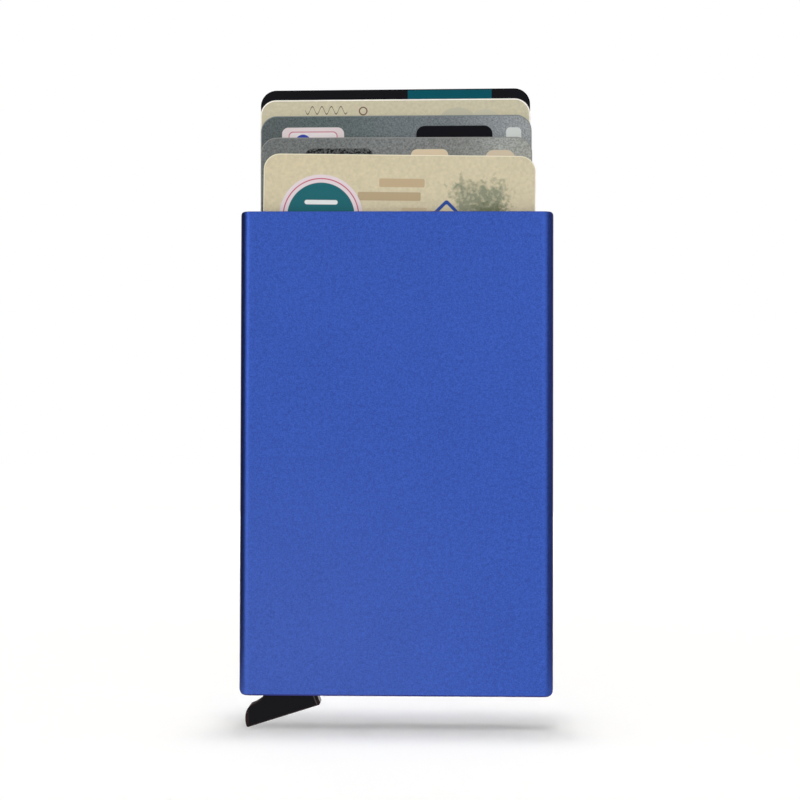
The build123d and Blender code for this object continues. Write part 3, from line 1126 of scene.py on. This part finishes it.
@dataclass
class CardFan:
    """The five cards, with the contacts and the tape that three of them carry."""

    nodes: dict[str, bpy.types.Object]
    size_mm: Point = (53.98, 85.60)
    corner_mm: float = 3.18
    designs: tuple[tuple[Designs, Slot], ...] = (
        (Designs.CREAM_FRONT, Slot.CREAM),
        (Designs.GREY_SECOND, Slot.GREY),
        (Designs.GREY_THIRD, Slot.GREY),
        (Designs.CREAM_FOURTH, Slot.CREAM),
        (Designs.BLACK_REAR, Slot.BLACK),
    )

    def build(self) -> None:
        """Dresses each card, its contacts and its tape."""
        tape = MagneticTape().make()
        for number, (design, slot) in enumerate(self.designs, 1):
            card = f"card_{number}"
            dress(self.nodes[card], design.value.make(card, self.size_mm, self.corner_mm), slot)
            chip = self.nodes.get(f"{card}_chip")
            if chip:
                plate = ContactPlate().make(chip.name, card, self.size_mm, self.corner_mm)
                dress(chip, plate, Slot.GOLD)
                dress(self.nodes[f"{card}_stripe"], tape, Slot.TAPE)


@dataclass(frozen=True)
class Softbox:
    """A soft lamp: a flat rectangle of even brightness, seen in gloss or not."""

    name: str
    place: Triple
    aim: Triple
    width: float
    height: float
    brightness: float
    mirrored: bool = True

    def build(self) -> None:
        """Makes the lamp. A flat lamp gives off pi times its brightness for each area."""
        lamp = bpy.data.lights.new(self.name, "AREA")
        lamp.shape = "RECTANGLE"
        lamp.size, lamp.size_y = self.width, self.height
        lamp.energy = math.pi * self.width * self.height * self.brightness
        stand = bpy.data.objects.new(self.name, lamp)
        stand.location = self.place
        away = Vector(self.place) - Vector(self.aim)
        stand.rotation_euler = away.to_track_quat("Z", "Y").to_euler()
        stand.visible_camera = False
        stand.visible_glossy = self.mirrored
        bpy.context.scene.collection.objects.link(stand)


@dataclass(frozen=True)
class Flag:
    """A curved card that stands beside one edge of the case, seen only in its gloss.

    Studios stand grey and black cards there, so that a satin edge darkens against white. Hand is
    -1 for the left edge and 1 for the right, and start and end are degrees from the front.
    """

    name: str
    hand: int
    start: float
    end: float
    colour: str
    reach: float = 0.060
    bottom: float = -0.02
    top: float = 0.30
    columns: int = 12

    def build(self) -> None:
        """Makes the sheet, from one compass angle to another round the case's edge.

        At an angle from the front it stands at the sine and minus the cosine, times its reach.
        """
        low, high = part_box("case_shell")
        edge = high.x if self.hand > 0 else low.x
        angles = np.radians(np.linspace(self.start, self.end, self.columns))
        angle, height = np.meshgrid(angles, [self.bottom, self.top])
        across = edge + self.hand * self.reach * np.sin(angle)
        points = np.stack([across, -self.reach * np.cos(angle), height], axis=-1)
        card = mesh_object(self.name, points.reshape(-1, 3), grid_quads(2, self.columns))
        paint = Paint(f"{self.name}_card")
        paint.shade(Base_Color=linear(self.colour), Roughness=1.0, Specular_IOR_Level=0.0)
        card.data.materials.append(paint.material)
        card.visible_camera = card.visible_shadow = card.visible_diffuse = False


@dataclass(frozen=True)
class Studio:
    """A white sweep under even light, with flags beside the case as product studios have.

    Two small lamps overhead, one before and one behind, spread the shadow under the slab to a band.
    """

    eye: Triple = (9.43 * MM, -355.0 * MM, 58.99 * MM)
    # Degrees that the camera is pitched up, turned to its left and rolled.
    pitch: float = 0.94
    yaw: float = 1.42
    roll: float = -0.144
    lens: float = 80.25
    sensor: float = 36.0
    nearest: float = 0.01
    furthest: float = 20.0
    floor_side: float = 5.0
    ambient: float = 0.10
    # The floor's opal sheet: its colour, how light it is to the object, light's mean free path in
    # it, the brightness that it is kept at, and how much of that the lamps give near the object.
    sheet: str = "fffefb"
    bounce: str = "e7e7e7"
    free_path_mm: float = 3.5
    floor_level: float = 0.95
    lamp_share: float = 0.90
    strip_height: float = 0.9
    flags: tuple[Flag, ...] = (
        Flag("flag_left_grey", -1, 64.0, 100.0, "8c8888"),
        Flag("flag_left_dark", -1, 100.0, 136.0, "7a6864"),
        Flag("flag_right_grey", 1, 52.0, 100.0, "c4b6b6"),
        Flag("flag_right_dark", 1, 100.0, 136.0, "b8a4a0"),
    )
    boxes: tuple[Softbox, ...] = (
        Softbox("front_softbox", (0.0, -0.9, 0.12), (0.0, 0.0, 0.08), 0.9, 0.16, 8.6, False),
        Softbox("rear_softbox", (0.0, 0.9, 0.16), (0.0, 0.0, 0.08), 0.9, 0.20, 3.4, False),
        Softbox("left_softbox", (-0.64, -0.62, 0.12), (-0.03, 0.0, 0.06), 0.18, 0.7, 1.5),
        Softbox("right_softbox", (0.35, -0.80, 0.12), (0.03, 0.0, 0.06), 0.18, 0.7, 0.55),
        Softbox("front_strip", (0.0, -0.09, 0.9), (0.0, 0.0, 0.0), 0.06, 0.08, 208.0, False),
        Softbox("rear_strip", (0.0, 0.09, 0.9), (0.0, 0.0, 0.0), 0.06, 0.08, 208.0, False),
    )

    def build(self) -> None:
        """Sets up the camera, the floor, the flags, the lamps and the surroundings."""
        self.set_camera()
        self.lay_floor()
        for flag in self.flags:
            flag.build()
        for box in self.boxes:
            box.build()
        self.surround()
        bpy.context.scene.view_settings.view_transform = "Standard"

    def set_camera(self) -> None:
        """Looks at the case almost head on, from the photograph's distance and height."""
        data = bpy.data.cameras.new("camera")
        data.lens, data.sensor_width = self.lens, self.sensor
        data.clip_start, data.clip_end = self.nearest, self.furthest
        camera = bpy.data.objects.new("camera", data)
        camera.location = self.eye
        turn = Matrix.Rotation(math.radians(self.yaw), 3, "Z")
        tilt = Matrix.Rotation(math.radians(90 + self.pitch), 3, "X")
        lean = Matrix.Rotation(math.radians(-self.roll), 3, "Z")
        camera.rotation_euler = (turn @ tilt @ lean).to_euler()
        bpy.context.scene.collection.objects.link(camera)
        bpy.context.scene.camera = camera

    def lay_floor(self) -> None:
        """Lays the floor that the trigger's toe stands on, a sheet of white opal acrylic.

        It is white where the lamps light it and keeps the object's shadow, whose edge is soft
        because light spreads inside the sheet. Its own glow makes up for what the lamps' light
        loses further off: that is their share, over the square of one plus the distance squared
        over the strips' height squared. Gloss on the object shows the floor white.
        """
        half = self.floor_side / 2
        points = np.array([[-half, -half, 0], [half, -half, 0], [half, half, 0], [-half, half, 0]])
        floor = mesh_object("floor", points, np.array([[0, 1, 2, 3]]))
        paint = Paint("white_opal_acrylic")
        tree = paint.material.node_tree
        place = paint.add("TexCoord", out="Object")
        away = paint.add("VectorMath", (place,), "Value", operation="LENGTH")
        heights = paint.add("Math", (away, self.strip_height), operation="DIVIDE")
        spread = paint.add("Math", (heights, heights, 1.0), operation="MULTIPLY_ADD")
        falloff = paint.add("Math", (spread, -2.0), operation="POWER")
        kept = (falloff, -self.lamp_share, self.floor_level)
        level = paint.add("Math", kept, operation="MULTIPLY_ADD")
        glow = paint.add("Emission", (linear(self.sheet), level))
        # Blender's scale is 4 pi times the mean free path.
        scale = 4 * math.pi * self.free_path_mm * MM
        inputs = {"Color": linear(self.sheet), "Scale": scale, "Radius": (1, 1, 1)}
        opal = paint.add("SubsurfaceScattering", inputs, falloff="BURLEY")
        lit = paint.add("AddShader", (opal, glow))
        plain = paint.add("BsdfDiffuse", (linear(self.bounce),))
        path = paint.add("LightPath").node.outputs
        looked_at = paint.add("MixShader", (path["Is Camera Ray"], plain, lit))
        gloss, glass = path["Is Glossy Ray"], path["Is Transmission Ray"]
        mirrored = paint.add("Math", (gloss, glass), operation="MAXIMUM")
        white = paint.add("Emission", ((1, 1, 1, 1), 1.0))
        both = paint.add("MixShader", (mirrored, looked_at, white))
        tree.links.new(both, tree.nodes["Material Output"].inputs["Surface"])
        floor.data.materials.append(paint.material)

    def surround(self) -> None:
        """Lights the scene evenly from all round, and shows white behind it."""
        world = bpy.data.worlds.new("studio")
        bpy.context.scene.world = world
        world.use_nodes = True
        tree = world.node_tree
        path = add(tree, "LightPath").node.outputs
        gloss, glass = path["Is Glossy Ray"], path["Is Transmission Ray"]
        mirrored = add(tree, "Math", (gloss, glass), operation="MAXIMUM")
        shown = add(tree, "Math", (path["Is Camera Ray"], mirrored), operation="MAXIMUM")
        level = add(tree, "MapRange", {"Value": shown, "To Min": self.ambient, "To Max": 1.0})
        fill(tree, tree.nodes["Background"], {"Color": (1, 1, 1, 1), "Strength": level})


def main() -> None:
    """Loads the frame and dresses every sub-assembly."""
    logging.basicConfig(level=logging.INFO, format="%(name)s %(message)s")
    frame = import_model()
    nodes = frame["nodes"]
    pivot = next(joint for joint in frame["joints"] if joint["name"] == "lever_pivot")
    Studio().build()
    Case(nodes).build()
    Ejector(nodes, Vector(pivot["pos_m"])).build()
    FeltPads().build()
    CardFan(nodes).build()


if __name__ == "__main__":
    main()
